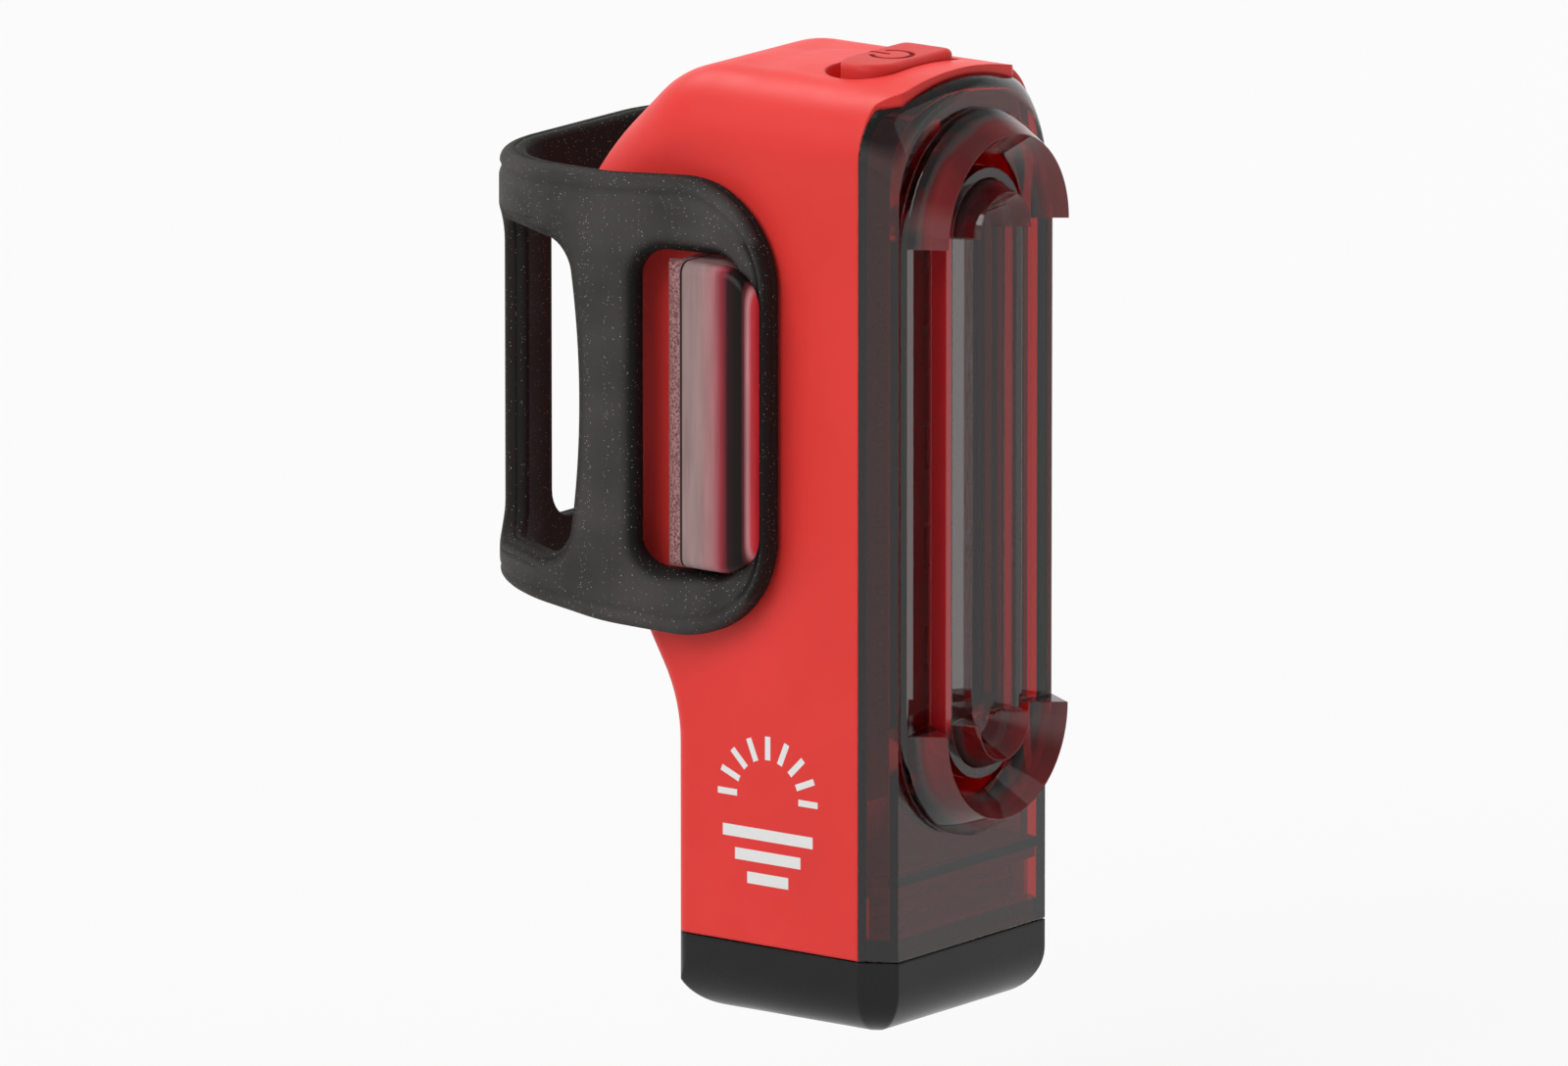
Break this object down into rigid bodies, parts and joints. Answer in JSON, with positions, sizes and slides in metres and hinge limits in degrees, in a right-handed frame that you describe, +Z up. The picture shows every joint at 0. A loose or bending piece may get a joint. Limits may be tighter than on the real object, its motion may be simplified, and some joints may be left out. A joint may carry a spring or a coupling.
{
  "type": "bike rear light",
  "caption": "Slim rechargeable bicycle rear light with a smoked prism lens, a seatpost cradle, a hooked ladder strap, a push button and a pull-off end cap.",
  "frame": {"origin": "middle of the end cap's flat bottom", "axes": "+Z up along the body, lens facing -Y, seatpost cradle and strap towards +Y, +X to the right as seen from the front"},
  "size_m": [0.0328, 0.0432, 0.0767],
  "materials": {
    "housing_red": "fine matte moulded plastic, bright red",
    "button_red": "soft-touch red, with a sunk power symbol",
    "lens_smoke": "polished smoked red, see-through",
    "hook_smoke": "polished smoked red, grained on the stem",
    "strap_rubber": "matte black rubber with fine dust specks",
    "cap_black": "satin black plastic",
    "seal_rubber": "black silicone",
    "insert_black": "matte black plastic",
    "steel": "bare stainless steel",
    "board_green": "green solder mask",
    "reflector_grey": "satin dark grey, toothed side edges",
    "led_yellow": "yellow phosphor window",
    "chip_black": "black moulded package",
    "battery_wrap": "silver pouch foil",
    "pad_foam": "dark foam tape",
    "wire_red": "red silicone sleeve",
    "wire_black": "black silicone sleeve",
    "contact_gold": "gold-plated contacts"
  },
  "bodies": {
    "light_body": {"rear_housing": "housing_red", "front_lens": "lens_smoke", "lens_gasket": "seal_rubber", "hook_left": "hook_smoke", "hook_right": "hook_smoke", "button_seal": "seal_rubber", "switch_body": "steel", "switch_board": "board_green", "reflector_frame": "reflector_grey", "led_board": "board_green", "led_chips": "led_yellow", "driver_chips": "chip_black", "board_screws": "steel", "battery_cell": "battery_wrap", "battery_pad": "pad_foam", "battery_lead_red": "wire_red", "battery_lead_black": "wire_black", "charge_board": "board_green", "charge_chip": "chip_black", "link_pins": "contact_gold", "usb_shell": "steel", "usb_tongue": "insert_black", "usb_contacts": "contact_gold", "base_plate": "insert_black", "base_seal": "seal_rubber", "base_screws": "steel"},
    "button": {"power_button": "button_red"},
    "plunger": {"switch_plunger": "insert_black"},
    "cap": {"end_cap": "cap_black", "cap_seal": "seal_rubber"},
    "strap": {"mounting_strap": "strap_rubber"}
  },
  "joints": [
    {"name": "button_press", "type": "slide", "parent": "light_body", "child": "button", "axis": [0, 0, -1], "range_m": [0, 0.0006], "stiffness_N_per_m": 2000},
    {"name": "plunger_press", "type": "slide", "parent": "light_body", "child": "plunger", "axis": [0, 0, -1], "range_m": [0, 0.0006]},
    {"name": "cap_pull", "type": "slide", "parent": "light_body", "child": "cap", "axis": [0, 0, -1], "range_m": [0, 0.012]},
    {"name": "strap_unhook", "type": "slide", "parent": "light_body", "child": "strap", "axis": [0, -1, 0], "range_m": [0, 0.0015]}
  ],
  "couplings": [
    {"joint": "plunger_press", "follows": "button_press", "ratio": 1}
  ]
}
